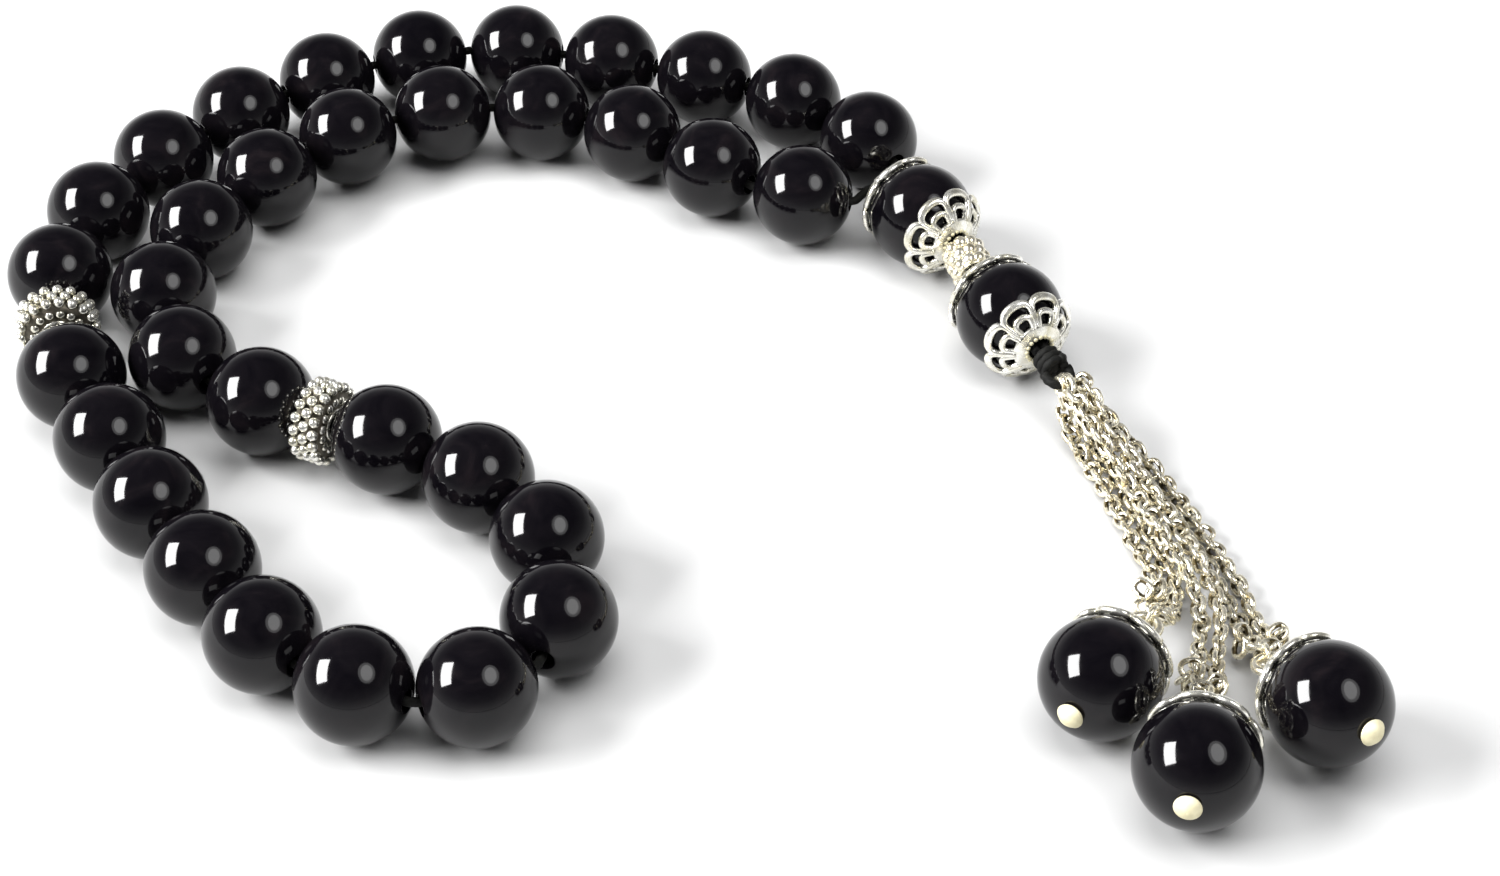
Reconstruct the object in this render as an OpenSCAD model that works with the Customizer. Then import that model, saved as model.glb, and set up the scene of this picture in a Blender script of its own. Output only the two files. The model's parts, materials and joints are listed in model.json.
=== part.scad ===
// Misbaha: thirty-three round stone beads on a closed cord, laid in a long
// double row, with two granulated dividers, a two-bead leader in openwork
// caps, and a tassel of three doubled chains that each carry an end bead.
// Millimetres, +Z up. The origin is at the centre of the footprint, on the
// surface that the beads lie on.

/* [Counting beads] */
// Diameter of a counting bead
bead_d = 10; // [9.6:0.1:10]
// Drilled hole through a counting bead
bore_d = 1.9; // [1.6:0.1:2.2]
// Play along the cord at each bead of the first group
play_first = 0.4; // [0.3:0.05:0.5]
// Play along the cord at each bead of the second group
play_second = 0.05; // [0.05:0.05:0.3]
// Play along the cord at each bead of the third group
play_third = 0.3; // [0.1:0.05:0.3]

/* [Dividers] */
// Outer diameter of a divider, over its granules
divider_d = 8; // [7:0.1:8.4]
// Width of a divider along the cord
divider_w = 3; // [2.8:0.1:3.6]
// Hole through a divider
divider_bore_d = 2.2; // [2:0.1:2.4]
// Free cord on each side of the first divider
divider_play_1 = 1.4; // [1.2:0.1:1.6]
// Free cord on each side of the second divider
divider_play_2 = 0.05; // [0.05:0.05:0.3]

/* [Leader] */
// Diameter of a leader bead
leader_d = 10.2; // [9.8:0.1:10.4]
// Hole through a leader bead, wide enough for two strands of cord
leader_bore_d = 2.4; // [2.3:0.1:2.8]
// Outer diameter of the granulated spacer between the leader beads
spacer_d = 4.6; // [4:0.1:5]
// Width of the spacer along the cord
spacer_w = 3.2; // [2.6:0.1:3.6]

/* [Caps] */
// Wall of a bead cap
cap_wall = 0.7; // [0.6:0.05:0.75]
// Angle from the pole that a cap's rim reaches
cap_reach = 55; // [45:1:57]
// Hole in the middle of a leader cap
leader_cap_hole_d = 2.8; // [2.6:0.1:3.2]
// Petals round a cap
cap_petals = 8; // [6:1:8]

/* [Cord] */
// Diameter of the stringing cord
cord_d = 0.9; // [0.7:0.05:0.9]
// Diameter of the knot under the leader
knot_d = 3; // [2.6:0.1:3]
// Thickness of the loop that holds the chains
loop_wire_d = 1; // [0.8:0.05:1]

/* [Tassel] */
// Diameter of an end bead
end_bead_d = 10.4; // [10:0.1:10.6]
// Diameter of a head pin's shank
pin_d = 0.8; // [0.7:0.05:0.9]
// Clearance round the shank in its bead, on the radius
pin_clearance = 0.06; // [0.04:0.01:0.08]
// Diameter of a head pin's domed head
pin_head_d = 2.3; // [2.2:0.1:2.8]
// Height of the dome
pin_head_h = 0.9; // [0.7:0.1:1]
// Width of one strand of chain
chain_d = 1.5; // [1.3:0.05:1.5]

/* [Hidden] */
group_size = 11;
bead_count = 3 * group_size;
curve_steps = 8;
round_fn = 64;
hole_fn = 32;
cord_sides = 8;
fit_gap = 0.1;
bead_r = bead_d / 2;
bead_z = bead_r;
leader_r = leader_d / 2;
end_r = end_bead_d / 2;

// Route of the string over the surface, from the leader round the outer row
// and back along the inner row, chosen by hand.
string_route = [
    [22.1, 35.5], [14.5, 42.5], [5.3, 46.9], [-4, 49.8], [-14, 51.9], [-24.1, 51.3], [-33.9, 47.1],
    [-42.6, 40.6], [-49.7, 32.5], [-54.9, 23.1], [-56.7, 12.4], [-55.2, 4.2], [-52.3, -3.2],
    [-47.2, -11.8], [-42.1, -20.3], [-36.4, -28.3], [-30.4, -36], [-22.2, -41.6], [-12.4, -41.9],
    [-6, -33.8], [-7.9, -23.4], [-14.4, -16.1], [-22.8, -11.2], [-28.8, -8.7], [-34.9, -5.8],
    [-42.9, 0.3], [-46.3, 10.4], [-44.2, 20.1], [-38.9, 29], [-31.1, 36.5], [-21.1, 40.6],
    [-11, 40.4], [-1.5, 36.4], [5.9, 30.8], [14.8, 26.1], [24.7, 23.2]
];

// Leader beads: place over the surface and heading, towards the tassel
leader_1_at = [26.9, 22.4, leader_r];
leader_1_heading = -55;
leader_2_at = [34.5, 6.5, leader_r];
leader_2_heading = -64;
cap_out_r = leader_r + fit_gap + cap_wall;

// End beads: place, heading of the eye seen from the bead, and its rise
left_at = [38.5, -41, end_r];
left_heading = 57;
left_rise = -4;
middle_at = [45.1, -50.8, end_r + 0.3];
middle_heading = 74;
middle_rise = -10;
right_at = [56.5, -44.4, end_r + 0.6];
right_heading = 118;
right_rise = -17;
eye_inner_r = 0.9;
eye_ring_r = eye_inner_r + pin_d / 2;
eye_reach = end_r + fit_gap + cap_wall + fit_gap + eye_ring_r + pin_d / 2;

// Knot and loop at the foot of the leader
knot_reach = cap_out_r + knot_d / 2 + fit_gap;
knot_at = leader_2_at + knot_reach * flat_dir(leader_2_heading) - [0, 0, 0.2];
loop_r = 1.2;
loop_leg_reach = sqrt(pow(knot_d / 2, 2) - pow(loop_r - loop_wire_d / 2, 2)) + 0.05;
loop_leg = 0.1;
loop_droop = 15;

// Routes of the three doubled chains, from the loop to the eyes of the pins,
// chosen by hand. Each is the middle line of two strands side by side.
strand_gap = chain_d / 2 + 0.05;
left_chain_route = [
    [39.7, -4, 2.5], [40.1, -5.8, 1.6], [40.9, -8.3, 0.9], [42, -10.8, 0.8], [42.8, -13.3, 0.8],
    [43.5, -15.8, 0.8], [44.2, -18.8, 0.8], [45.1, -21.8, 0.8], [46, -24.8, 0.8], [46.1, -26.8, 0.9],
    [45.6, -29, 1.6], [45, -30.8, 2.8], [44.3, -32.4, 4]
];
middle_chain_route = [
    [39.7, -4, 5.7], [40.6, -6, 5.4], [41.9, -8.8, 4.3], [43.3, -11.3, 3], [44.4, -13.8, 2.4],
    [45.6, -16.8, 2.4], [46.7, -19.8, 2.4], [47.7, -22.8, 2.4], [48.6, -25.8, 2.4], [49, -28.8, 2.4],
    [48.9, -31.8, 2.4], [48.4, -34.8, 2.5], [47.9, -37.4, 2.9], [47.6, -39.4, 3.4], [47.5, -41, 3.9]
];
right_chain_route = [
    [39.7, -4, 4.1], [41, -5.8, 3.7], [43, -7.8, 2.7], [44.9, -9.8, 1.5], [46.4, -12, 0.8],
    [47.5, -14.4, 0.8], [48.6, -17.3, 0.8], [49.7, -20.3, 0.8], [50.8, -23.3, 0.8],
    [51.7, -26.3, 0.8], [52.3, -29.3, 0.8], [52.6, -32, 1.2], [52.8, -34.2, 2.3], [52.9, -35.5, 3]
];

// Unit vector of a heading in the surface's plane
function flat_dir(heading) = [cos(heading), sin(heading), 0];
// Unit vector of a heading with a rise
function rise_dir(heading, rise) = [
    cos(heading) * cos(rise), sin(heading) * cos(rise), sin(rise)
];
function unit(v) = v / norm(v);
// The same vector turned a quarter turn to the left, seen from above
function left_of(v) = unit([-v.y, v.x, 0]);

// A point of the smooth curve between b and c
function curve_point(a, b, c, d, t) =
    0.5 * (2 * b + (c - a) * t + (2 * a - 5 * b + 4 * c - d) * t * t
        + (3 * b - a - 3 * c + d) * t * t * t);
// A smooth curve through all the points of a route
function smooth(route, steps) =
    let (last = len(route) - 1,
        ends = concat([2 * route[0] - route[1]], route, [2 * route[last] - route[last - 1]]))
    concat(
        [for (i = [1 : last], k = [0 : steps - 1])
            curve_point(ends[i - 1], ends[i], ends[i + 1], ends[i + 2], k / steps)],
        [route[last]]);

// Index of the curve's last point that is nearer to p than distance
function reach(curve, p, distance, j) =
    norm(curve[j + 1] - p) >= distance ? j : reach(curve, p, distance, j + 1);
// Places on a curve, each a straight-line step from the one before
function walk(curve, steps, k, p, j) =
    k == len(steps) ? [p] :
    let (m = reach(curve, p, steps[k], j),
        near = norm(curve[m] - p),
        far = norm(curve[m + 1] - p),
        q = curve[m] + (steps[k] - near) / (far - near) * (curve[m + 1] - curve[m]))
    concat([p], walk(curve, steps, k + 1, q, m));

// Steps from one item on the cord to the next: beads with a divider after
// the first and the second group
function group_steps(play) = [for (i = [2 : group_size]) bead_d + play];
function divider_steps(play) = [for (i = [1, 2]) bead_r + divider_w / 2 + play];
item_steps = concat(group_steps(play_first), divider_steps(divider_play_1),
    group_steps(play_second), divider_steps(divider_play_2), group_steps(play_third));
string_curve = smooth(string_route, curve_steps);
items = [for (p = walk(string_curve, item_steps, 0, string_curve[0], 0)) [p.x, p.y, bead_z]];
divider_items = [group_size, 2 * group_size + 1];
function is_divider(i) = i == divider_items[0] || i == divider_items[1];
function bead_item(n) = n + floor((n - 1) / group_size) - 1;
function item_reach(i) = is_divider(i) ? divider_w / 2 : bead_r;

// Where the cord leaves the leader, at the height of the string
strand_side = cord_d / 2 + 0.03;
leader_top = leader_1_at - (cap_out_r + 0.3) * flat_dir(leader_1_heading)
    - [0, 0, leader_r - bead_z];
items_last = len(items) - 1;
function item_or_leader(i) = i < 0 || i > items_last ? leader_top : items[i];
function bisector(i) = unit(item_or_leader(i + 1) - item_or_leader(i - 1));
// Where the cord passes between item i and item i + 1
function pass_point(i) =
    i < 0 ? items[0] - (bead_r + 0.2) * bisector(0) :
    i == items_last ? items[i] + (bead_r + 0.2) * bisector(i) :
    (items[i] + item_reach(i) * bisector(i)
        + items[i + 1] - item_reach(i + 1) * bisector(i + 1)) / 2;
function item_axis(i) = is_divider(i) ? bisector(i) : unit(pass_point(i) - pass_point(i - 1));

// One strand through the leader, from the knot up to the string
function leader_strand(side) =
    let (dir_1 = flat_dir(leader_1_heading),
        dir_2 = flat_dir(leader_2_heading),
        off_1 = side * strand_side * left_of(dir_1),
        off_2 = side * strand_side * left_of(dir_2))
    [
        leader_2_at + (cap_out_r - 0.1) * dir_2 + off_2,
        leader_2_at - (cap_out_r + 0.2) * dir_2 + off_2,
        leader_1_at + (cap_out_r + 0.2) * dir_1 + off_1,
        leader_1_at - (cap_out_r + 0.2) * dir_1 + off_1
    ];
function reversed(list) = [for (i = [len(list) - 1 : -1 : 0]) list[i]];
// Free cord between the leader and the string, chosen by hand
free_to_first = [[23.6, 28.6, 5], [24, 30.1, 5]];
free_to_last = [[22, 27.2, 5], [21.2, 26.1, 5]];
cord_route = concat(
    leader_strand(1), free_to_first,
    [for (i = [-1 : items_last]) pass_point(i)],
    reversed(free_to_last), reversed(leader_strand(-1)));

// Points of one ring of a tube at a place on its route
function ring(route, i, r, sides) =
    let (last = len(route) - 1,
        forward = unit(route[min(i + 1, last)] - route[max(i - 1, 0)]),
        side = left_of(forward),
        up = cross(forward, side))
    [for (k = [0 : sides - 1])
        route[i] + r * (cos(360 * k / sides) * side + sin(360 * k / sides) * up)];

// A closed tube swept along a route
module tube(route, d) {
    n = len(route);
    sides = cord_sides;
    points = [for (i = [0 : n - 1], p = ring(route, i, d / 2, sides)) p];
    walls = [for (i = [0 : n - 2], k = [0 : sides - 1]) [
        i * sides + k, i * sides + (k + 1) % sides,
        (i + 1) * sides + (k + 1) % sides, (i + 1) * sides + k
    ]];
    start = [for (k = [sides - 1 : -1 : 0]) k];
    end = [for (k = [0 : sides - 1]) (n - 1) * sides + k];
    polyhedron(points, concat([start], walls, [end]), convexity = 10);
}

// Turns a shape's +Z to a direction and moves its origin to a place
module aim(place, dir) {
    translate(place)
        rotate([0, acos(dir.z), atan2(dir.y, dir.x)])
            children();
}

// A drilled round bead on the Z axis
module drilled_bead(d, hole_d) {
    difference() {
        sphere(d = d, $fn = round_fn);
        cylinder(d = hole_d, h = d + 2, center = true, $fn = hole_fn);
    }
}

// A metal wheel with rounded rows of granules round its rim, on the Z axis
module granulated_wheel(d, w, hole_d, rows) {
    grain_d = w / (1 + 0.9 * (rows - 1));
    rim_r = (d - grain_d) / 2;
    rotate_extrude($fn = round_fn)
        union() {
            translate([hole_d / 2, -w / 2 + 0.2])
                square([rim_r - hole_d / 2, w - 0.4]);
            for (i = [0 : rows - 1])
                translate([rim_r, (i - (rows - 1) / 2) * 0.9 * grain_d])
                    circle(d = grain_d, $fn = hole_fn);
        }
}

// A scalloped cap over the +Z pole of a bead at the origin
module bead_cap(r, hole_d) {
    inner_r = r + fit_gap;
    outer_r = inner_r + cap_wall;
    notch_d = 1.6;
    difference() {
        intersection() {
            sphere(r = outer_r, $fn = round_fn);
            cylinder(r1 = 0, r2 = 2 * r * tan(cap_reach), h = 2 * r, $fn = round_fn);
        }
        sphere(r = inner_r, $fn = round_fn);
        cylinder(d = hole_d, h = 2 * r, $fn = hole_fn);
        for (i = [1 : cap_petals])
            rotate([0, cap_reach + 2, (i + 0.5) * 360 / cap_petals])
                cylinder(d = notch_d, h = 2 * r, $fn = hole_fn);
    }
}

module stringing_cord() {
    color([0.05, 0.05, 0.05]) tube(cord_route, cord_d);
}

module counting_bead(n) {
    i = bead_item(n);
    color([0.03, 0.03, 0.04]) aim(items[i], item_axis(i)) drilled_bead(bead_d, bore_d);
}

module divider(n) {
    i = divider_items[n - 1];
    color([0.8, 0.8, 0.78])
        aim(items[i], item_axis(i)) granulated_wheel(divider_d, divider_w, divider_bore_d, 3);
}

module leader_bead(place, heading) {
    color([0.03, 0.03, 0.04])
        aim(place, flat_dir(heading)) drilled_bead(leader_d, leader_bore_d);
}

module leader_cap(place, heading) {
    color([0.8, 0.8, 0.78])
        aim(place, flat_dir(heading)) bead_cap(leader_r, leader_cap_hole_d);
}

module leader_spacer() {
    from = leader_1_at + (cap_out_r + 0.2) * flat_dir(leader_1_heading);
    to = leader_2_at - (cap_out_r + 0.2) * flat_dir(leader_2_heading);
    color([0.8, 0.78, 0.7])
        aim((from + to) / 2, unit(to - from))
            granulated_wheel(spacer_d, spacer_w, leader_bore_d, 3);
}

module cord_knot() {
    color([0.05, 0.05, 0.05]) translate(knot_at) sphere(d = knot_d, $fn = round_fn);
}

// A closed-end loop of cord whose legs start at the knot
module tassel_loop() {
    color([0.05, 0.05, 0.05])
        translate(knot_at)
            rotate([0, loop_droop, leader_2_heading])
                union() {
                    translate([loop_leg_reach + loop_leg, 0, 0])
                        rotate([0, 0, -90])
                            rotate_extrude(angle = 180, $fn = round_fn)
                                translate([loop_r, 0])
                                    circle(d = loop_wire_d, $fn = hole_fn);
                    for (side = [-1, 1])
                        translate([loop_leg_reach, side * loop_r, 0])
                            rotate([0, 90, 0])
                                cylinder(d = loop_wire_d, h = loop_leg, $fn = hole_fn);
                }
}

// One of the two strands of a doubled chain
module chain_strand(route, side) {
    last = len(route) - 1;
    offset_route = [for (i = [0 : last])
        route[i] + side * strand_gap * left_of(route[min(i + 1, last)] - route[max(i - 1, 0)])];
    color([0.85, 0.83, 0.74]) tube(offset_route, chain_d);
}

module end_bead(place, heading, rise) {
    color([0.03, 0.03, 0.04])
        aim(place, rise_dir(heading, rise)) drilled_bead(end_bead_d, pin_d + 2 * pin_clearance);
}

module end_cap(place, heading, rise) {
    color([0.8, 0.8, 0.78])
        aim(place, rise_dir(heading, rise)) bead_cap(end_r, pin_d + 2 * pin_clearance);
}

// A pin with a domed head under the bead and an eye above its cap
module head_pin(place, heading, rise) {
    head_at = -(end_r + fit_gap);
    head_r = pin_head_d / 2;
    dome_r = (head_r * head_r + pin_head_h * pin_head_h) / (2 * pin_head_h);
    shank_top = eye_reach - eye_ring_r;
    color([0.85, 0.83, 0.76])
        aim(place, rise_dir(heading, rise))
            union() {
                intersection() {
                    translate([0, 0, head_at + dome_r - pin_head_h])
                        sphere(r = dome_r, $fn = round_fn);
                    translate([0, 0, head_at - pin_head_h])
                        cylinder(d = 2 * pin_head_d, h = pin_head_h, $fn = round_fn);
                }
                translate([0, 0, head_at - pin_head_h / 2])
                    cylinder(d = pin_d, h = shank_top - head_at + pin_head_h / 2, $fn = hole_fn);
                translate([0, 0, eye_reach])
                    rotate([0, 90, 0])
                        rotate_extrude($fn = round_fn)
                            translate([eye_ring_r, 0]) circle(d = pin_d, $fn = hole_fn);
            }
}

function bead_name(n) = str("bead_", n < 10 ? "0" : "", n);
bead_names = [for (n = [1 : bead_count]) bead_name(n)];

for (n = [1 : bead_count])
    counting_bead(n);
divider(1);  // divider_1
divider(2);  // divider_2
stringing_cord();
leader_cap(leader_1_at, leader_1_heading + 180);  // leader_1_upper_cap
leader_bead(leader_1_at, leader_1_heading);  // leader_1_bead
leader_cap(leader_1_at, leader_1_heading);  // leader_1_lower_cap
leader_spacer();
leader_cap(leader_2_at, leader_2_heading + 180);  // leader_2_upper_cap
leader_bead(leader_2_at, leader_2_heading);  // leader_2_bead
leader_cap(leader_2_at, leader_2_heading);  // leader_2_lower_cap
cord_knot();
tassel_loop();
chain_strand(left_chain_route, 1);  // left_chain_a
chain_strand(left_chain_route, -1);  // left_chain_b
chain_strand(middle_chain_route, 1);  // middle_chain_a
chain_strand(middle_chain_route, -1);  // middle_chain_b
chain_strand(right_chain_route, 1);  // right_chain_a
chain_strand(right_chain_route, -1);  // right_chain_b
end_cap(left_at, left_heading, left_rise);  // left_end_cap
end_bead(left_at, left_heading, left_rise);  // left_end_bead
head_pin(left_at, left_heading, left_rise);  // left_head_pin
end_cap(middle_at, middle_heading, middle_rise);  // middle_end_cap
end_bead(middle_at, middle_heading, middle_rise);  // middle_end_bead
head_pin(middle_at, middle_heading, middle_rise);  // middle_head_pin
end_cap(right_at, right_heading, right_rise);  // right_end_cap
end_bead(right_at, right_heading, right_rise);  // right_end_bead
head_pin(right_at, right_heading, right_rise);  // right_head_pin
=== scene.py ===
import json
import math
import random

import bpy
from mathutils import Matrix, Vector


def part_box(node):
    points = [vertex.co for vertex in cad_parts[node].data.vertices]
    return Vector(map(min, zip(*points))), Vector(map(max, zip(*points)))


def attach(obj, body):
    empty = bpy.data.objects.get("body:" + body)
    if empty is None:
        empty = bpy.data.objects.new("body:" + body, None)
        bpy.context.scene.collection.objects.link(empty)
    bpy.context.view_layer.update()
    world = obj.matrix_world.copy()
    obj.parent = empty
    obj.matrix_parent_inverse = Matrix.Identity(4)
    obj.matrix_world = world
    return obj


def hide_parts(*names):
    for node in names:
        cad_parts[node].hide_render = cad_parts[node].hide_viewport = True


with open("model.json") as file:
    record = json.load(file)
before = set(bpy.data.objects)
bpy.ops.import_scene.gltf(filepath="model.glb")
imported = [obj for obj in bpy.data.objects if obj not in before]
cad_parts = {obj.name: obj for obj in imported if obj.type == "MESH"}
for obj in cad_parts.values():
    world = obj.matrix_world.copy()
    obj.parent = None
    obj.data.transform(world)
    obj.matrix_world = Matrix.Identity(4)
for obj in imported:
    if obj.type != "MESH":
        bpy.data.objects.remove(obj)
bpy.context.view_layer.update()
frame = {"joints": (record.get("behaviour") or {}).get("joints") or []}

MM = 0.001
UP = Vector((0, 0, 1))
JOINTS = {joint["name"]: joint for joint in frame["joints"]}
ENDS = ("left", "middle", "right")


# ---------------------------------------------------------------- camera

CAMERA_PLACE = (9.9 * MM, -193.6 * MM, 164.8 * MM)
CAMERA_PITCH = 41.195
LENS = 64.76
SENSOR_WIDTH = 36

camera_data = bpy.data.cameras.new("photo_camera")
camera_data.lens = LENS
camera_data.sensor_width = SENSOR_WIDTH
camera_data.clip_start = 10 * MM
camera_data.clip_end = 20
camera = bpy.data.objects.new("photo_camera", camera_data)
camera.location = CAMERA_PLACE
camera.rotation_euler = (math.radians(90 - CAMERA_PITCH), 0, 0)
bpy.context.scene.collection.objects.link(camera)
bpy.context.scene.camera = camera


# ---------------------------------------------------------------- geometry helpers

def vec(*xyz):
    """A place or a step given in millimetres."""
    return Vector(xyz) * MM


def left_of(v):
    """The level direction to the left of v."""
    return UP.cross(v).normalized()


def joint_place(name):
    """Centre and axis of a joint, in metres."""
    joint = JOINTS[name]
    return Vector(joint["pos_m"]), Vector(joint["axis"]).normalized()


def box_centre(node):
    """The middle of a CAD node's box."""
    low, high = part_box(node)
    return (Vector(low) + Vector(high)) / 2


def aim(place, axis):
    """Local Z along axis, local X level and to its left, local Y towards the sky."""
    z = axis.normalized()
    x = left_of(z)
    y = z.cross(x)
    return Matrix.Translation(place) @ Matrix((x, y, z)).transposed().to_4x4()


class Shape:
    """Vertices and faces of one piece, in metres, gathered part by part."""

    def __init__(self):
        self.verts = []
        self.faces = []
        self.coats = []

    def add(self, mesh, coat=0):
        """Adds a part; coat is the number of its material in the piece."""
        verts, faces = mesh
        base = len(self.verts)
        self.verts.extend(verts)
        self.faces.extend([base + i for i in face] for face in faces)
        self.coats.extend([coat] * len(faces))

    def piece(self, name, materials, body, slot, nodes, matrix=None):
        """Makes the object, which rides its body and replaces its CAD nodes."""
        verts = [matrix @ v for v in self.verts] if matrix else self.verts
        mesh = bpy.data.meshes.new(name)
        mesh.from_pydata([v[:] for v in verts], [], self.faces)
        for material in materials:
            mesh.materials.append(material)
        for polygon, coat in zip(mesh.polygons, self.coats):
            polygon.material_index = coat
            polygon.use_smooth = True
        mesh.update()
        obj = bpy.data.objects.new(name, mesh)
        bpy.context.scene.collection.objects.link(obj)
        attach(obj, body)
        if nodes:
            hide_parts(*nodes)
        return obj


def ring_faces(rings, sides, closed):
    """Quads between rings of the same number of sides, numbered in order."""
    faces = []
    for i in range(rings if closed else rings - 1):
        a, b = i * sides, (i + 1) % rings * sides
        for k in range(sides):
            m = (k + 1) % sides
            faces.append([a + k, a + m, b + m, b + k])
    return faces


def circle(radius, z, count, start=0):
    """Places evenly round the Z axis; start is a part of one step."""
    turns = [2 * math.pi * (k + start) / count for k in range(count)]
    return [Vector((radius * math.cos(turn), radius * math.sin(turn), z)) for turn in turns]


def fuller(value):
    """Bends a sine or cosine so that a round outline gets fuller corners."""
    return math.copysign(abs(value) ** 0.8, value)


def lathe(profile, steps):
    """A closed profile of (radius, height) turned about the Z axis."""
    verts = []
    for i in range(steps):
        turn = 2 * math.pi * i / steps
        for r, z in profile:
            verts.append(Vector((r * math.cos(turn), r * math.sin(turn), z)))
    return verts, ring_faces(steps, len(profile), True)


def ball(centre, radius, rings=8, steps=12, squeeze=1.0):
    """A round granule; squeeze flattens it along Z."""
    verts = [centre + Vector((0, 0, radius * squeeze))]
    for i in range(1, rings):
        tilt = math.pi * i / rings
        for k in range(steps):
            turn = 2 * math.pi * k / steps
            verts.append(centre + radius * Vector((
                math.sin(tilt) * math.cos(turn), math.sin(tilt) * math.sin(turn),
                math.cos(tilt) * squeeze)))
    verts.append(centre - Vector((0, 0, radius * squeeze)))
    last = len(verts) - 1
    faces = [[0, 1 + k, 1 + (k + 1) % steps] for k in range(steps)]
    for i in range(rings - 2):
        a, b = 1 + i * steps, 1 + (i + 1) * steps
        for k in range(steps):
            m = (k + 1) % steps
            faces.append([a + k, b + k, b + m, a + m])
    base = last - steps
    faces.extend([last, base + (k + 1) % steps, base + k] for k in range(steps))
    return verts, faces


def sweep(points, normals, section, closed=False):
    """A section swept along points. section(i) gives (sideways, outward) pairs."""
    verts = []
    last = len(points) - 1
    for i, point in enumerate(points):
        if closed:
            ahead = points[(i + 1) % len(points)] - points[i - 1]
        else:
            ahead = points[min(i + 1, last)] - points[max(i - 1, 0)]
        ahead.normalize()
        outward = (normals[i] - ahead * normals[i].dot(ahead)).normalized()
        sideways = ahead.cross(outward)
        outline = section(i)
        verts.extend(point + sideways * a + outward * b for a, b in outline)
    sides = len(outline)
    faces = ring_faces(len(points), sides, closed)
    if not closed:
        faces.append(list(range(sides - 1, -1, -1)))
        faces.append(list(range(last * sides, (last + 1) * sides)))
    return verts, faces


def oval(width, height, sides=10):
    """An elliptic section."""
    return [(width / 2 * math.cos(2 * math.pi * k / sides),
             height / 2 * math.sin(2 * math.pi * k / sides)) for k in range(sides)]


def wire_ring(centre, normal, radius, wire, steps=28):
    """A closed round ring of wire."""
    x = normal.orthogonal().normalized()
    y = normal.cross(x).normalized()
    points = [centre + radius * (math.cos(2 * math.pi * k / steps) * x
                                 + math.sin(2 * math.pi * k / steps) * y)
              for k in range(steps)]
    outline = oval(wire, wire)
    return sweep(points, [normal] * steps, lambda i: outline, closed=True)


def distances(points):
    """How far along a polyline each of its points is."""
    result = [0.0]
    for a, b in zip(points, points[1:]):
        result.append(result[-1] + (b - a).length)
    return result


def place_along(points, travelled, s):
    """The place s along a polyline, and the number of the point before it."""
    j = 0
    while j < len(points) - 2 and travelled[j + 1] < s:
        j += 1
    t = (s - travelled[j]) / (travelled[j + 1] - travelled[j])
    return points[j].lerp(points[j + 1], t), j


def resample(route, step):
    """Points at even steps along a polyline, with its corners rounded a little."""
    travelled = distances(route)
    count = max(2, round(travelled[-1] / step))
    points = [place_along(route, travelled, travelled[-1] * k / count)[0]
              for k in range(count + 1)]
    for _ in range(2):
        inner = [(a + 2 * b + c) / 4 for a, b, c in zip(points, points[1:], points[2:])]
        points = [points[0], *inner, points[-1]]
    return points


def twisted_cord(route, width, twist=3.0 * MM, step=0.4 * MM):
    """Three plies of cord laid round each other along a route; twist is one turn's length."""
    points = resample(route, step)
    travelled = distances(points)
    sides = 18
    groove = 0.20

    def section(i):
        spin = 2 * math.pi * travelled[i] / twist
        outline = []
        for k in range(sides):
            turn = 2 * math.pi * k / sides
            ply = abs(math.cos(1.5 * (turn - spin)))
            radius = width / 2 * (1 - groove + groove * ply)
            outline.append((radius * math.cos(turn), radius * math.sin(turn)))
        return outline

    return sweep(points, [UP] * len(points), section)


# ---------------------------------------------------------------- materials

def material(name):
    """A new material with its nodes, links, shader and object coordinates."""
    result = bpy.data.materials.new(name)
    result.use_nodes = True
    nodes, links = result.node_tree.nodes, result.node_tree.links
    shader = nodes["Principled BSDF"]
    place = nodes.new("ShaderNodeTexCoord")
    return result, nodes, links, shader, place.outputs["Object"]


def noise(nodes, links, where, scale, detail, distortion=0.0):
    node = nodes.new("ShaderNodeTexNoise")
    node.inputs["Scale"].default_value = scale
    node.inputs["Detail"].default_value = detail
    node.inputs["Distortion"].default_value = distortion
    links.new(where, node.inputs["Vector"])
    return node.outputs["Fac"]


def ramp(nodes, links, fac, stops):
    node = nodes.new("ShaderNodeValToRGB")
    while len(node.color_ramp.elements) < len(stops):
        node.color_ramp.elements.new(0.5)
    for element, (place, color) in zip(node.color_ramp.elements, stops):
        element.position = place
        element.color = (*color, 1)
    links.new(fac, node.inputs["Fac"])
    return node.outputs["Color"]


def spread(nodes, links, fac, low, high):
    """The middle range of a noise, 0.3 to 0.7, stretched from low to high."""
    node = nodes.new("ShaderNodeMapRange")
    node.inputs["From Min"].default_value = 0.3
    node.inputs["From Max"].default_value = 0.7
    node.inputs["To Min"].default_value = low
    node.inputs["To Max"].default_value = high
    links.new(fac, node.inputs["Value"])
    return node.outputs["Result"]


def bump(nodes, links, shader, height, strength, distance):
    node = nodes.new("ShaderNodeBump")
    node.inputs["Strength"].default_value = strength
    node.inputs["Distance"].default_value = distance
    links.new(height, node.inputs["Height"])
    links.new(node.outputs["Normal"], shader.inputs["Normal"])


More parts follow.
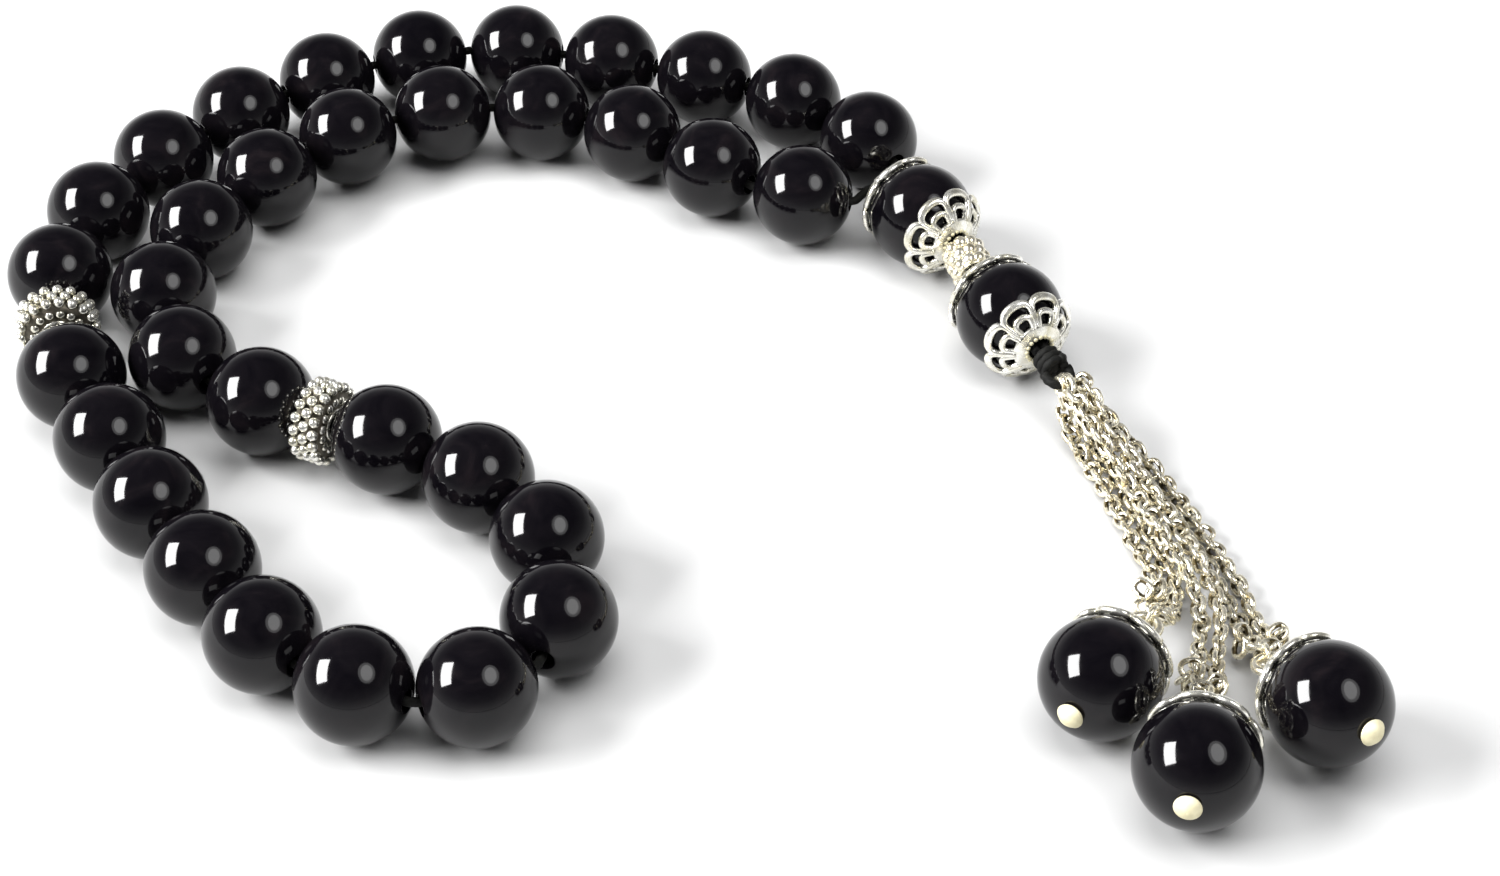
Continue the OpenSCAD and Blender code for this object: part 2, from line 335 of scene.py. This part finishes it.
def onyx_material():
    result, nodes, links, shader, where = material("onyx")
    veins = noise(nodes, links, where, scale=260, detail=4, distortion=1.5)
    links.new(ramp(nodes, links, veins, [
        (0.30, (0.0012, 0.0010, 0.0016)), (0.55, (0.0024, 0.0020, 0.0027)),
        (0.75, (0.0050, 0.0038, 0.0046))]), shader.inputs["Base Color"])
    polish = noise(nodes, links, where, scale=900, detail=5)
    links.new(spread(nodes, links, polish, 0.05, 0.10), shader.inputs["Roughness"])
    waves = noise(nodes, links, where, scale=420, detail=2)
    bump(nodes, links, shader, waves, strength=0.05, distance=0.02 * MM)
    shader.inputs["Specular IOR Level"].default_value = 0.30
    return result


def metal_material(name, light, dark, roughness, grain, metallic):
    """Metal with patches of two tones; roughness is a low and a high value."""
    result, nodes, links, shader, where = material(name)
    patches = noise(nodes, links, where, scale=700, detail=4, distortion=0.6)
    links.new(ramp(nodes, links, patches, [(0.32, dark), (0.62, light)]),
              shader.inputs["Base Color"])
    polish = noise(nodes, links, where, scale=1600, detail=4)
    links.new(spread(nodes, links, polish, *roughness), shader.inputs["Roughness"])
    pits = noise(nodes, links, where, scale=3200, detail=3)
    bump(nodes, links, shader, pits, strength=grain, distance=0.04 * MM)
    shader.inputs["Metallic"].default_value = metallic
    return result


def cord_material():
    result, nodes, links, shader, where = material("black_cord")
    fibres = noise(nodes, links, where, scale=3800, detail=4, distortion=2.0)
    links.new(ramp(nodes, links, fibres, [
        (0.35, (0.001, 0.001, 0.001)), (0.70, (0.005, 0.005, 0.004))]),
        shader.inputs["Base Color"])
    links.new(spread(nodes, links, fibres, 0.60, 0.85), shader.inputs["Roughness"])
    bump(nodes, links, shader, fibres, strength=0.5, distance=0.06 * MM)
    shader.inputs["Specular IOR Level"].default_value = 0.2
    return result


ONYX = onyx_material()
SILVER = metal_material(
    "silver", light=(0.95, 0.94, 0.88), dark=(0.66, 0.63, 0.50),
    roughness=(0.18, 0.32), grain=0.25, metallic=0.92)
# dark silver that paints shade onto the drums of the dividers, between and beneath their
# granules
PAINTED_SHADE_SILVER = metal_material(
    "silver_painted_shade", light=(0.16, 0.14, 0.11), dark=(0.04, 0.04, 0.03),
    roughness=(0.4, 0.6), grain=0.3, metallic=0.95)
CHAIN = metal_material(
    "chain_silver", light=(0.95, 0.91, 0.77), dark=(0.64, 0.57, 0.40),
    roughness=(0.18, 0.32), grain=0.15, metallic=0.92)
# dark metal that paints shade onto the inner faces of the chain links
CHAIN_PAINTED_SHADE = metal_material(
    "chain_shade", light=(0.20, 0.16, 0.09), dark=(0.05, 0.04, 0.02),
    roughness=(0.35, 0.5), grain=0.2, metallic=1.0)
PIN = metal_material(
    "pin_silver", light=(0.72, 0.67, 0.46), dark=(0.60, 0.55, 0.36),
    roughness=(0.50, 0.62), grain=0.12, metallic=0.6)
CORD = cord_material()


# ---------------------------------------------------------------- chains

STRAND_SIDE = 0.8 * MM       # from the middle line of a doubled chain
STRAND_SPLIT = 0.2 * MM      # the same, at the rings
STRAND_INSET = 0.4 * MM      # from the end of a route to the middle of its last link
LINK_WIRE = 0.5 * MM
LINK_LONG = 2.2 * MM
LINK_WIDE = 1.75 * MM
LINK_PITCH = 1.15 * MM
LINK_STEPS = 20
LINK_SIDES = 8
PAINTED_SHADE_FACING = 0.45             # how squarely a face has to look into the hole of its link to get painted shade
LEAN = 24                    # most that a link leans from its quarter turn, in degrees
STRAY = 16                   # most that it points aside, in degrees
WANDER = 0.15                # most that it lies aside, in millimetres
EYE_RING = 1.3 * MM
JUMP_RING = 0.85 * MM
LOOP_SPACING = 0.45 * MM     # between the three jump rings on the cord loop
LOOP_HANG = 0.15 * MM        # from the cord of the loop to the middle of a ring on it
EYE_HANG = 0.2 * MM          # the same, at the eye of a head pin
LOOSE_LINKS = 7              # round each eye
LOOSE_WAY = ((-1, 1), (-1, 1), (-0.4, 0.4))
LOOSE_REACH = ((-1.8, 1.8), (0.3, 3), (-1.8, 0))  # from the ring's foot, in millimetres
LOOSE_FLOOR = 1.2 * MM       # lowest place for the middle of a loose link

# the middle line of each doubled chain, from the cord loop to its head pin, in millimetres
CHAIN_ROUTES = {
    "left": [
        (39.7, -4, 2.5), (40.1, -5.8, 1.6), (40.9, -8.3, 0.9), (42, -10.8, 0.8),
        (42.8, -13.3, 0.8), (43.5, -15.8, 0.8), (44.2, -18.8, 0.8), (45.1, -21.8, 0.8),
        (46, -24.8, 0.8), (46.1, -26.8, 0.9), (45.6, -29, 1.6), (45, -30.8, 2.8),
        (44.3, -32.4, 4)],
    "middle": [
        (39.7, -4, 5.7), (40.6, -6, 5.4), (41.9, -8.8, 4.3), (43.3, -11.3, 3),
        (44.4, -13.8, 2.4), (45.6, -16.8, 2.4), (46.7, -19.8, 2.4), (47.7, -22.8, 2.4),
        (48.6, -25.8, 2.4), (49, -28.8, 2.4), (48.9, -31.8, 2.4), (48.4, -34.8, 2.5),
        (47.9, -37.4, 2.9), (47.6, -39.4, 3.4), (47.5, -41, 3.9)],
    "right": [
        (39.7, -4, 4.1), (41, -5.8, 3.7), (43, -7.8, 2.7), (44.9, -9.8, 1.5),
        (46.4, -12, 0.8), (47.5, -14.4, 0.8), (48.6, -17.3, 0.8), (49.7, -20.3, 0.8),
        (50.8, -23.3, 0.8), (51.7, -26.3, 0.8), (52.3, -29.3, 0.8), (52.6, -32, 1.2),
        (52.8, -34.2, 2.3), (52.9, -35.5, 3)],
}


def chain_link(centre, ahead, side):
    """One oval link, its long way ahead: its plain faces, and the faces inside, which get
    painted shade.
    """
    flat = ahead.cross(side).normalized()
    reach, half = (LINK_LONG - LINK_WIRE) / 2, (LINK_WIDE - LINK_WIRE) / 2
    points = []
    for k in range(LINK_STEPS):
        turn = 2 * math.pi * k / LINK_STEPS
        points.append(centre + ahead * (reach * fuller(math.cos(turn)))
                      + side * (half * fuller(math.sin(turn))))
    outline = oval(LINK_WIRE, LINK_WIRE, LINK_SIDES)
    verts, faces = sweep(points, [flat] * LINK_STEPS, lambda i: outline, closed=True)
    plain_faces, painted_shade_faces = [], []
    for face in faces:
        first = face[0] // LINK_SIDES * LINK_SIDES
        wire = sum(verts[first:first + LINK_SIDES], Vector()) / LINK_SIDES
        out = sum((verts[k] for k in face), Vector()) / len(face) - wire
        inward = centre - wire
        inside = out.dot(inward) > PAINTED_SHADE_FACING * out.length * inward.length
        (painted_shade_faces if inside else plain_faces).append(face)
    return (verts, plain_faces), (verts, painted_shade_faces)


def linked_strand(route, seed):
    """Oval links along a route, each turned about a quarter turn from the last."""
    rng = random.Random(seed)
    points = resample(route, step=0.3 * MM)
    travelled = distances(points)
    total = travelled[-1] - 2 * STRAND_INSET
    count = round(total / LINK_PITCH) + 1
    shape = Shape()
    for k in range(count):
        centre, j = place_along(points, travelled, STRAND_INSET + total * k / (count - 1))
        ahead = (points[min(j + 2, len(points) - 1)] - points[max(j - 1, 0)]).normalized()
        lean = math.radians((45 if k % 2 else -45) + rng.uniform(-LEAN, LEAN))
        side = Matrix.Rotation(lean, 3, ahead) @ left_of(ahead)
        stray = math.radians(rng.uniform(-STRAY, STRAY))
        ahead = Matrix.Rotation(stray, 3, ahead.cross(side)) @ ahead
        side = (side - ahead * side.dot(ahead)).normalized()
        centre = centre + side * rng.uniform(-WANDER, WANDER) * MM
        for coat, part in enumerate(chain_link(centre, ahead, side)):
            shape.add(part, coat)
    return shape


def loose_links(ring, foot, seed):
    """A few links that lie anyhow where the strands are hung on their ring."""
    rng = random.Random(seed)
    for _ in range(LOOSE_LINKS):
        ahead = Vector([rng.uniform(*span) for span in LOOSE_WAY]).normalized()
        centre = foot + vec(*[rng.uniform(*span) for span in LOOSE_REACH])
        centre.z = max(centre.z, LOOSE_FLOOR)
        link = chain_link(centre, ahead, ahead.orthogonal().normalized())
        for coat, part in enumerate(link):
            ring.add(part, coat)


knot_centre, _ = joint_place("tassel_swing")
loop_apex, lift_axis = joint_place("tassel_lift")
for order, name in enumerate(ENDS):
    middle = [vec(*point) for point in CHAIN_ROUTES[name]]
    body = name + "_chain"

    # the jump ring on the cord loop
    shift = LOOP_SPACING * (1 - order) * lift_axis
    out = (middle[0] - loop_apex).normalized()
    ring_centre = loop_apex + shift + LOOP_HANG * out
    top = ring_centre + JUMP_RING * out
    ring = Shape()
    ring.add(wire_ring(ring_centre, lift_axis, JUMP_RING, LINK_WIRE))
    ring.piece(name + "_loop_ring", [CHAIN], body, "chain_silver", [])

    # the jump ring on the eye of the head pin
    eye, _ = joint_place(name + "_pin_swing")
    _, pin_axis = joint_place(name + "_bead_spin")
    eye_face = left_of(pin_axis).cross(pin_axis)
    out = middle[-1] - eye
    out = (out - eye_face * out.dot(eye_face)).normalized()
    ring_centre = eye + EYE_RING * out + EYE_HANG * out
    foot = ring_centre + JUMP_RING * out
    ring = Shape()
    ring.add(wire_ring(ring_centre, out.cross(eye_face), JUMP_RING, LINK_WIRE))
    loose_links(ring, foot, order)
    ring.piece(name + "_eye_ring", [CHAIN, CHAIN_PAINTED_SHADE], body, "chain_silver", [])

    # the two strands between the rings
    last = len(middle) - 1
    sides = [left_of(middle[min(i + 1, last)] - middle[max(i - 1, 0)])
             for i in range(last + 1)]
    for strand, way in (("a", 1), ("b", -1)):
        route = [p + way * STRAND_SIDE * side for p, side in zip(middle, sides)]
        route = ([top + way * STRAND_SPLIT * sides[0]] + route
                 + [foot + way * STRAND_SPLIT * sides[-1]])
        shape = linked_strand(route, 10 * order + way)
        chain = shape.piece(f"{name}_links_{strand}", [CHAIN, CHAIN_PAINTED_SHADE], body, "chain_silver",
                            [f"{name}_chain_{strand}"])


# ---------------------------------------------------------------- beads

BEAD = 10 * MM
BEAD_HOLE = 1.9 * MM
LEADER = 10.2 * MM
LEADER_HOLE = 2.4 * MM
END = 10.4 * MM
END_HOLE = 0.92 * MM
MOUTH = 0.18 * MM
BEAD_RINGS = 40
BEAD_STEPS = 72


def bead_mesh(diameter, hole):
    """A drilled round bead whose hole has softened mouths."""
    radius, bore = diameter / 2, hole / 2
    mouth = bore + MOUTH
    start = math.asin(mouth / radius)
    profile = []
    for i in range(BEAD_RINGS + 1):
        tilt = start + (math.pi - 2 * start) * i / BEAD_RINGS
        profile.append((radius * math.sin(tilt), radius * math.cos(tilt)))
    edge = radius * math.cos(start)
    soft = [(bore + 0.09 * MM, edge + 0.01 * MM), (bore + 0.02 * MM, edge - 0.05 * MM),
            (bore, edge - 0.16 * MM)]
    profile += [(r, -z) for r, z in soft] + soft[::-1]
    return lathe(profile, BEAD_STEPS)


def stone(name, diameter, hole, place, axis, body, node):
    """One bead of stone, its hole along axis."""
    shape = Shape()
    shape.add(bead_mesh(diameter, hole))
    shape.piece(name, [ONYX], body, "onyx", [node], aim(place, axis))


bead_names = [f"bead_{n:02d}" for n in range(1, 34)]
for name in bead_names:
    place, axis = joint_place(name + "_spin")
    stone("stone_" + name[5:], BEAD, BEAD_HOLE, place, axis, name, name)

for name in ("leader_1", "leader_2"):
    place, axis = joint_place(name + "_spin")
    stone(name + "_stone", LEADER, LEADER_HOLE, place, axis, name, name + "_bead")

for name in ENDS:
    place, axis = joint_place(name + "_bead_spin")
    stone(name + "_end_stone", END, END_HOLE, place, axis, name + "_bead",
          name + "_end_bead")


# ---------------------------------------------------------------- granulated wheels

DIVIDER = 8 * MM
DIVIDER_WIDTH = 3 * MM
DIVIDER_HOLE = 2.2 * MM
DIVIDER_COUNT = 18           # granules in a row
SPACER = 4.6 * MM
SPACER_WIDTH = 4.2 * MM
SPACER_COUNT = 10
ROWS = 3
ROW_PITCH = 0.9              # of a granule's width, as are the next three
GRANULE = 0.47
DRUM_DEPTH = 0.35
RIM_DEPTH = 0.45
DRUM_INSET = 0.25 * MM
COLLAR_WIRE = 0.42 * MM
COLLAR_OUT = 0.26 * MM       # from the edge of the hole
COLLAR_LIFT = 0.02 * MM
SMALL_GRANULE = 0.85 * MM    # at most
SMALL_MARGIN = 0.2 * MM
SMALL_PITCH = 1.12           # of a small granule's width
LEAST_ROOM = 0.7 * MM


def granulated_wheel(diameter, width, hole, count, materials, name, place, axis, body, node):
    """A silver wheel with staggered rows of granules round its rim and a collar each side.

    Where there's room between the collar and the rim, a ring of small granules fills it.
    """
    grain = width / (1 + ROW_PITCH * (ROWS - 1))
    rim = (diameter - grain) / 2
    drum = rim - DRUM_DEPTH * grain
    half = width / 2 - DRUM_INSET
    shape = Shape()
    profile = [(hole / 2, half), (drum, half), (drum, -half), (hole / 2, -half)]
    # the drum takes the second material, which on the dividers is silver with painted shade
    shape.add(lathe(profile, steps=64), 1)
    for row in range(ROWS):
        for centre in circle(rim, (row - 1) * ROW_PITCH * grain, count, 0.5 * (row % 2)):
            shape.add(ball(centre, GRANULE * grain))
    collar = hole / 2 + COLLAR_OUT
    room = rim - grain * RIM_DEPTH - collar - SMALL_MARGIN
    for way in (1, -1):
        z = way * (half + COLLAR_LIFT)
        shape.add(wire_ring(Vector((0, 0, z)), UP, collar, COLLAR_WIRE, steps=40))
        if room > LEAST_ROOM:
            middle = collar + SMALL_MARGIN + room / 2
            small = min(room, SMALL_GRANULE)
            number = int(2 * math.pi * middle / (small * SMALL_PITCH))
            for centre in circle(middle, z, number):
                shape.add(ball(centre, small / 2, rings=6, steps=10, squeeze=0.55))
    shape.piece(name, materials, body, "silver", [node], aim(place, axis))


# each divider by the number of the bead before it
slide_axis = Vector(JOINTS["divider_1_slide"]["axis"]).normalized()
dividers = {11: ("divider_1", box_centre("divider_1"), slide_axis),
            22: ("divider_2", *joint_place("divider_2_spin"))}
for name, place, axis in dividers.values():
    granulated_wheel(DIVIDER, DIVIDER_WIDTH, DIVIDER_HOLE, DIVIDER_COUNT, [SILVER, PAINTED_SHADE_SILVER],
                     name + "_wheel", place, axis, name, name)
place, axis = joint_place("spacer_spin")
granulated_wheel(SPACER, SPACER_WIDTH, LEADER_HOLE, SPACER_COUNT, [CHAIN, CHAIN],
                 "spacer_wheel", place, axis, "spacer", "leader_spacer")


# ---------------------------------------------------------------- openwork caps

PETALS = 8
PETAL_START = 27             # turn of the first petal, in degrees
PLATE_EDGE = 26              # tilts from the bead's pole, in degrees, here and below
PLATE_STEPS = 6
BETWEEN_TILT = 27            # of the granule between two petals
BETWEEN_GRANULE = 0.30 * MM
OUTER_ARCH = {"foot": 24, "shoulder": 42, "top": 53, "half_turn": 21.0,
              "width": 0.46 * MM, "swell": 0.40 * MM, "thick": 0.62 * MM}
INNER_ARCH = {"foot": 24, "shoulder": 32, "top": 39, "half_turn": 14.5,
              "width": 0.50 * MM, "swell": 0.15 * MM, "thick": 0.56 * MM}
LEG_STEPS = 5
BEND_STEPS = 16
CAP_GAP = 0.1 * MM
CAP_WALL = 0.7 * MM
LEADER_CAP_HOLE = 2.2 * MM
COLLAR_GRANULE = 0.25 * MM
COLLAR_PITCH = 0.52 * MM
LEAST_COLLAR = 0.75 * MM


def on_ball(radius, tilt, turn):
    """A place on a ball, tilted from its pole and turned about it, in degrees."""
    tilt, turn = math.radians(tilt), math.radians(turn)
    return radius * Vector((math.sin(tilt) * math.cos(turn), math.sin(tilt) * math.sin(turn),
                            math.cos(tilt)))


def arch(radius, turn, foot, shoulder, top, half_turn, width, swell, thick):
    """A band of wire on the bead: up one leg, round the top and down the other."""
    leg = [foot + (shoulder - foot) * k / LEG_STEPS for k in range(LEG_STEPS)]
    points = [(tilt, -half_turn, 0) for tilt in leg]
    for k in range(BEND_STEPS + 1):
        around = math.pi * (k / BEND_STEPS - 0.5)
        points.append((shoulder + (top - shoulder) * fuller(math.cos(around)),
                       half_turn * fuller(math.sin(around)), math.cos(around)))
    points += [(tilt, half_turn, 0) for tilt in reversed(leg)]
    line = [on_ball(radius, tilt, turn + side) for tilt, side, _ in points]
    outlines = [oval(width + swell * rise, thick) for _, _, rise in points]
    return sweep(line, [p.normalized() for p in line], lambda i: outlines[i])


def petal_cap(name, bead, hole, place, axis, body, node):
    """Looped petals that spring from a plate and a collar of granules at the bead's pole."""
    inner, outer = bead / 2 + CAP_GAP, bead / 2 + CAP_GAP + CAP_WALL
    radius = bead / 2 + CAP_GAP + CAP_WALL / 2
    shape = Shape()
    start = math.degrees(math.asin((hole / 2 + 0.1 * MM) / radius))
    tilts = [start + (PLATE_EDGE - start) * k / PLATE_STEPS for k in range(PLATE_STEPS + 1)]
    plate = [on_ball(outer - 0.12 * MM, tilt, 0) for tilt in tilts]
    plate += [on_ball(inner + 0.03 * MM, tilt, 0) for tilt in reversed(tilts)]
    shape.add(lathe([(p.x, p.z) for p in plate], steps=48))
    for k in range(PETALS):
        turn = PETAL_START + 360 * k / PETALS
        shape.add(arch(radius, turn, **OUTER_ARCH))
        shape.add(arch(radius - 0.03 * MM, turn, **INNER_ARCH))
        between = on_ball(radius + 0.05 * MM, BETWEEN_TILT, turn + 180 / PETALS)
        shape.add(ball(between, BETWEEN_GRANULE))
    collar = max(hole / 2 + COLLAR_GRANULE, LEAST_COLLAR)
    height = math.sqrt(radius * radius - collar * collar) + 0.12 * MM
    for centre in circle(collar, height, int(2 * math.pi * collar / COLLAR_PITCH)):
        shape.add(ball(centre, COLLAR_GRANULE, rings=6, steps=8), 1)
    shape.piece(name, [SILVER, PIN], body, "silver", [node], aim(place, axis))


for name in ("leader_1", "leader_2"):
    place, axis = joint_place(name + "_spin")
    petal_cap(name + "_upper_petals", LEADER, LEADER_CAP_HOLE, place, -axis, name,
              name + "_upper_cap")
    petal_cap(name + "_lower_petals", LEADER, LEADER_CAP_HOLE, place, axis, name,
              name + "_lower_cap")
for name in ENDS:
    place, axis = joint_place(name + "_bead_spin")
    petal_cap(name + "_end_petals", END, END_HOLE, place, axis, name + "_bead",
              name + "_end_cap")


# ---------------------------------------------------------------- head pins

PIN_WIRE = 0.8 * MM
PIN_HEAD_TOP = -(END / 2 + CAP_GAP)
PIN_HEAD_RADIUS = 1.15 * MM
PIN_HEAD_HEIGHT = 0.85 * MM
PIN_HEAD_EDGE = 0.15 * MM
EYE_REACH = END / 2 + 2 * CAP_GAP + CAP_WALL + EYE_RING + PIN_WIRE / 2
EYE_STEPS = 36
SHANK_STEPS = 6


def pin_head():
    """A domed button with a softened edge, its flat side towards the bead."""
    top, radius, height, edge = PIN_HEAD_TOP, PIN_HEAD_RADIUS, PIN_HEAD_HEIGHT, PIN_HEAD_EDGE
    dome = (radius * radius + height * height) / (2 * height)
    profile = [(0.3 * MM, top), (radius - edge, top), (radius - 0.3 * edge, top - 0.3 * edge),
               (radius, top - edge)]
    steps = 10
    for k in range(1, steps + 1):
        across = radius * (1 - k / steps)
        depth = math.sqrt(dome * dome - across * across) - (dome - height)
        profile.append((max(across, 0.004 * MM), top - max(depth, edge)))
    return lathe(profile, steps=40)


def head_pin(name):
    """A pin with a domed head below the bead and an eye bent from its wire above."""
    place, axis = joint_place(name + "_bead_spin")
    shape = Shape()
    shape.add(pin_head())
    outline = oval(PIN_WIRE, PIN_WIRE, sides=14)
    foot, neck = PIN_HEAD_TOP - 0.3 * MM, EYE_REACH - EYE_RING
    line = [Vector((0, 0, foot + (neck - PIN_HEAD_TOP) * k / SHANK_STEPS))
            for k in range(SHANK_STEPS)]
    line.append(Vector((0, 0, neck)))
    shape.add(sweep(line, [Vector((1, 0, 0))] * len(line), lambda i: outline), 1)
    eye = []
    for k in range(EYE_STEPS):
        turn = 2 * math.pi * k / EYE_STEPS
        eye.append(Vector((EYE_RING * math.sin(turn), 0, EYE_REACH - EYE_RING * math.cos(turn))))
    shape.add(sweep(eye, [Vector((0, 1, 0))] * EYE_STEPS, lambda i: outline, closed=True), 1)
    shape.piece(name + "_pin_wire", [PIN, CHAIN], name + "_pin", "pin_silver",
                [name + "_head_pin"], aim(place, axis))


for name in ENDS:
    head_pin(name)


# ---------------------------------------------------------------- cord, knot and loop

LEADER_OUT = LEADER / 2 + CAP_GAP + CAP_WALL
CORD_WIDTH = 0.9 * MM
CORD_SIDE = 0.48 * MM        # of each strand in the leader, from the middle of its hole
CORD_STRAIGHT = 0.2 * MM     # at each mouth, before the cord bends
TIGHT_TWIST = 2.4 * MM
KNOT_STEP = 0.25 * MM
LOOP_STEP = 0.2 * MM
STRING_START = [vec(23.6, 28.6, 5), vec(24, 30.1, 5)]
STRING_END = [vec(21.2, 26.1, 5), vec(22, 27.2, 5)]
leader_1, leader_1_axis = joint_place("leader_1_spin")
leader_2, leader_2_axis = joint_place("leader_2_spin")


def leader_strand(way):
    """One strand through the leader, from the knot up to the string."""
    off_1 = way * CORD_SIDE * left_of(leader_1_axis)
    off_2 = way * CORD_SIDE * left_of(leader_2_axis)
    reach = LEADER_OUT + CORD_STRAIGHT
    return [leader_2 + (LEADER_OUT - 0.1 * MM) * leader_2_axis + off_2,
            leader_2 - reach * leader_2_axis + off_2,
            leader_1 + reach * leader_1_axis + off_1,
            leader_1 - reach * leader_1_axis + off_1]


string_items = []
for number, name in enumerate(bead_names, 1):
    string_items.append((*joint_place(name + "_spin"), BEAD / 2))
    if number in dividers:
        _, place, axis = dividers[number]
        string_items.append((place, axis, DIVIDER_WIDTH / 2))
first, last = string_items[0], string_items[-1]
string_route = leader_strand(1) + STRING_START
string_route.append(first[0] - (first[2] + CORD_STRAIGHT) * first[1])
for (p, axis_p, reach_p), (q, axis_q, reach_q) in zip(string_items, string_items[1:]):
    string_route.append((p + reach_p * axis_p + q - reach_q * axis_q) / 2)
string_route.append(last[0] + (last[2] + CORD_STRAIGHT) * last[1])
string_route += STRING_END
string_route += reversed(leader_strand(-1))
string = Shape()
string.add(twisted_cord(string_route, CORD_WIDTH))
string.piece("string_plies", [CORD], "string", "black_cord", ["stringing_cord"])

# in millimetres round the knot's middle, its Z axis along the leader
KNOT_TURNS = 1.1
KNOT_LEAN = 0.18
KNOT_WRAPS = ((-0.95, -0.25, 0.98), (-0.15, 0.55, 1.05), (0.45, 1.0, 0.9))
KNOT_CROSSING = [(0.55, -1.15, -1.0), (0.9, -0.55, -0.7), (1.12, 0.1, -0.1), (0.95, 0.7, 0.6),
                 (0.5, 1.0, 1.0)]
KNOT_CORE = 1.1


def wrap(start, end, radius):
    """A turn of cord round the knot's own Z axis, climbing from start to end."""
    route = []
    steps = 30
    for k in range(steps + 1):
        t = k / steps
        turn = 2 * math.pi * KNOT_TURNS * t
        route.append(vec(radius * math.cos(turn), radius * math.sin(turn),
                         start + (end - start) * t + KNOT_LEAN * math.sin(turn)))
    return route


knot = Shape()
for turn_of_cord in KNOT_WRAPS:
    knot.add(twisted_cord(wrap(*turn_of_cord), CORD_WIDTH, TIGHT_TWIST, KNOT_STEP))
crossing = [vec(*point) for point in KNOT_CROSSING]
knot.add(twisted_cord(crossing, CORD_WIDTH, TIGHT_TWIST, KNOT_STEP))
knot.add(ball(Vector(), KNOT_CORE * MM, rings=12, steps=20))
knot.piece("knot_wraps", [CORD], "string", "black_cord", ["cord_knot"],
           aim(knot_centre, leader_2_axis))

LOOP_CORD = 1.0 * MM
LOOP_RADIUS = 1.2 * MM
LOOP_LEG = 0.4 * MM
LOOP_STEPS = 24
loop_axis = (loop_apex - knot_centre).normalized()
loop_side = left_of(loop_axis)
loop_centre = loop_apex - LOOP_RADIUS * loop_axis
loop_route = [loop_centre - LOOP_LEG * loop_axis + LOOP_RADIUS * loop_side]
for k in range(LOOP_STEPS + 1):
    turn = math.pi * (k / LOOP_STEPS - 0.5)
    loop_route.append(loop_centre + LOOP_RADIUS * (
        math.cos(turn) * loop_axis - math.sin(turn) * loop_side))
loop_route.append(loop_centre - LOOP_LEG * loop_axis - LOOP_RADIUS * loop_side)
loop = Shape()
loop.add(twisted_cord(loop_route, LOOP_CORD, TIGHT_TWIST, LOOP_STEP))
loop.piece("loop_cord", [CORD], "tassel_loop", "black_cord", ["tassel_loop"])


# ---------------------------------------------------------------- floor and light

FLOOR_HALF = 3
# the floor's colour darkens away from the middle: painted fall-off of the light
FLOOR_PAINTED_FALLOFF = [(0.14, (0.34, 0.34, 0.34)), (0.50, (0.22, 0.22, 0.22))]
SKY_TONES = [(0.0, (0.95, 0.95, 0.95)), (0.12, (0.60, 0.60, 0.61)), (0.32, (0.22, 0.22, 0.23)),
             (0.60, (0.05, 0.05, 0.055))]

floor_mesh = bpy.data.meshes.new("floor")
floor_mesh.from_pydata([(-FLOOR_HALF, -FLOOR_HALF, 0), (FLOOR_HALF, -FLOOR_HALF, 0),
                        (FLOOR_HALF, FLOOR_HALF, 0), (-FLOOR_HALF, FLOOR_HALF, 0)],
                       [], [(0, 1, 2, 3)])
floor = bpy.data.objects.new("floor", floor_mesh)
bpy.context.scene.collection.objects.link(floor)
floor_material, nodes, links, shader, where = material("pale_floor")
# painted light fall-off: the floor gets darker with distance from the middle
from_middle = nodes.new("ShaderNodeVectorMath")
from_middle.operation = "LENGTH"
links.new(where, from_middle.inputs[0])
links.new(ramp(nodes, links, from_middle.outputs["Value"], FLOOR_PAINTED_FALLOFF),
          shader.inputs["Base Color"])
shader.inputs["Roughness"].default_value = 0.7
shader.inputs["Specular IOR Level"].default_value = 0.1
floor_mesh.materials.append(floor_material)


def softbox(name, shape, direction, upward, distance, width, height, power):
    """A flat light that faces the origin; its height runs upward."""
    data = bpy.data.lights.new(name, "AREA")
    data.shape = shape
    data.size = width
    data.size_y = height
    data.energy = power
    z = Vector(direction).normalized()
    x = Vector(upward).cross(z).normalized()
    lamp = bpy.data.objects.new(name, data)
    lamp.matrix_world = Matrix.Translation(distance * z) @ Matrix(
        (x, z.cross(x), z)).transposed().to_4x4()
    bpy.context.scene.collection.objects.link(lamp)
    return lamp


KEY_WAY, KEY_TALL = (-0.791, -0.111, 0.600), (0.123, 0.931, 0.343)
FILL_WAY, FILL_TALL = (0.472, -0.312, 0.825), (-0.059, 0.922, 0.382)
softbox("key_light", "RECTANGLE", KEY_WAY, KEY_TALL,
        distance=0.9, width=0.34, height=0.60, power=26)
softbox("fill_light", "ELLIPSE", FILL_WAY, FILL_TALL,
        distance=0.9, width=0.50, height=0.62, power=1.8)
softbox("fill_core", "ELLIPSE", FILL_WAY, FILL_TALL,
        distance=0.88, width=0.34, height=0.46, power=1.4)
ceiling = softbox("ceiling_light", "RECTANGLE", (0.1, 0.1, 1), (0, 1, 0),
                  distance=1.0, width=1.1, height=1.1, power=23)
ceiling.visible_glossy = False

world = bpy.data.worlds.new("studio")
world.use_nodes = True
nodes, links = world.node_tree.nodes, world.node_tree.links
sky = nodes.new("ShaderNodeTexCoord")
rise = nodes.new("ShaderNodeSeparateXYZ")
links.new(sky.outputs["Generated"], rise.inputs["Vector"])
links.new(ramp(nodes, links, rise.outputs["Z"], SKY_TONES), nodes["Background"].inputs["Color"])
nodes["Background"].inputs["Strength"].default_value = 1.0
bpy.context.scene.world = world
bpy.context.scene.view_settings.view_transform = "Standard"
